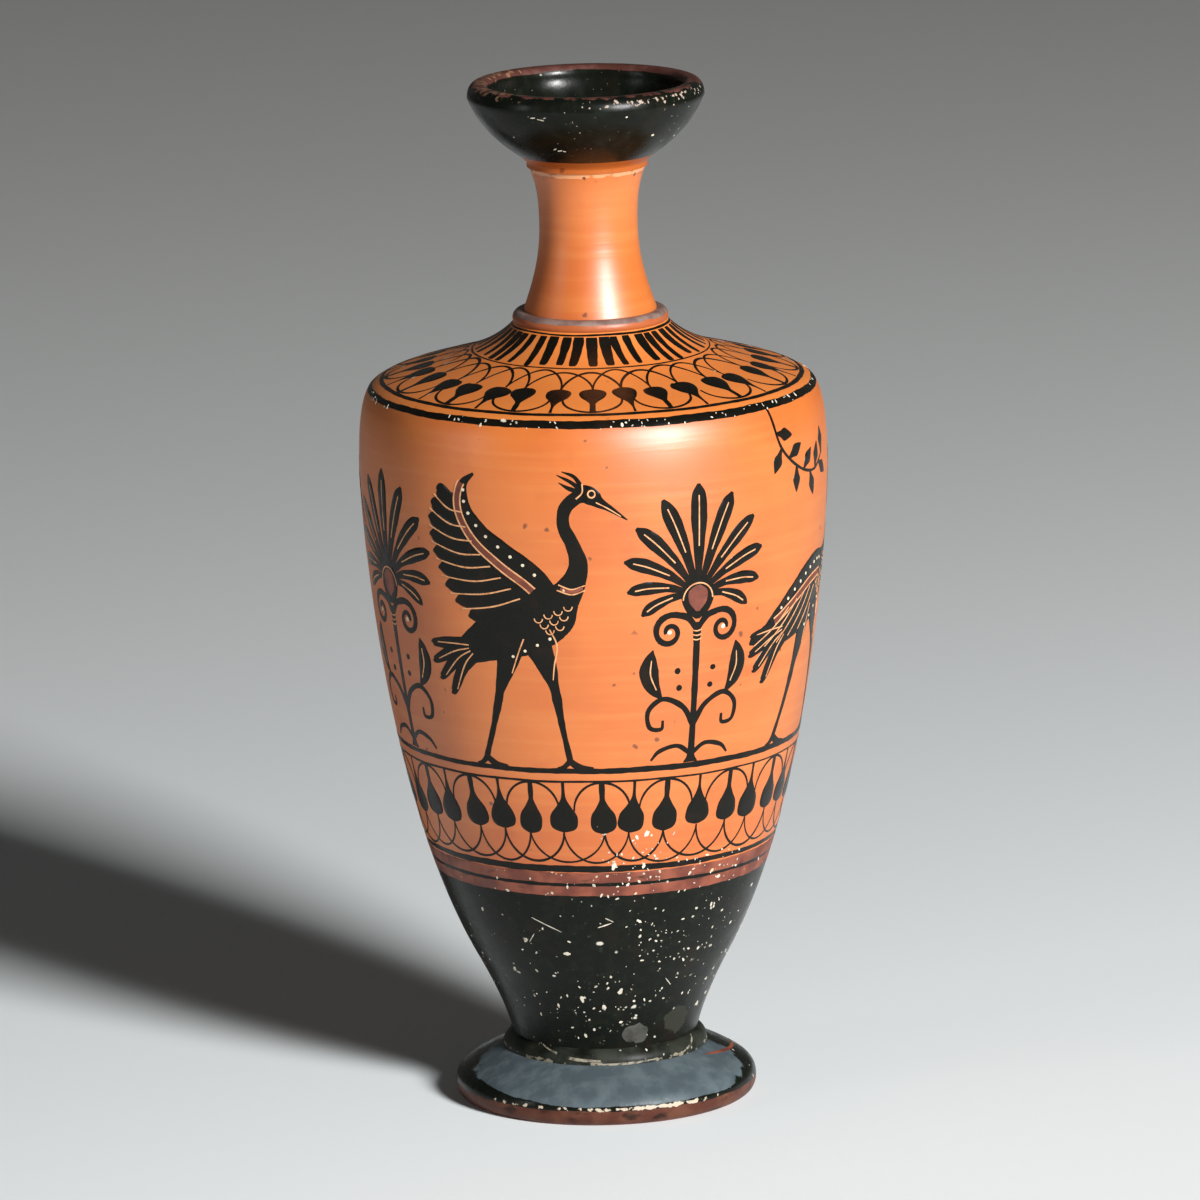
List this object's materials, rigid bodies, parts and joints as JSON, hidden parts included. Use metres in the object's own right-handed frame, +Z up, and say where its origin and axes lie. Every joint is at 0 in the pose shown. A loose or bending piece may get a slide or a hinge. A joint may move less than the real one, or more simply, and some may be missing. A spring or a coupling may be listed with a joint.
{
  "type": "lekythos",
  "caption": "Shoulder lekythos: tapering clay oil flask with a disc foot, sloping shoulder, narrow flared neck, cup-shaped mouth and a strap handle at the back, painted black on orange.",
  "frame": {"origin": "centre of the foot's resting ring, on the table", "axes": "+Z up along the axis of the wheel, +Y towards the handle at the back, +X to the right seen from the front"},
  "size_m": [0.113, 0.113, 0.2485],
  "materials": {
    "painted_clay": "burnished fired clay with painted ornament in black gloss",
    "black_gloss": "black gloss slip, worn to the clay in specks",
    "added_purple": "dull purple slip over black"
  },
  "bodies": {
    "root": {"foot": "black_gloss", "foot_fillet": "black_gloss", "body": "painted_clay", "shoulder": "painted_clay", "neck": "painted_clay", "neck_ring": "added_purple", "mouth": "black_gloss", "handle": "black_gloss"}
  },
  "joints": []
}
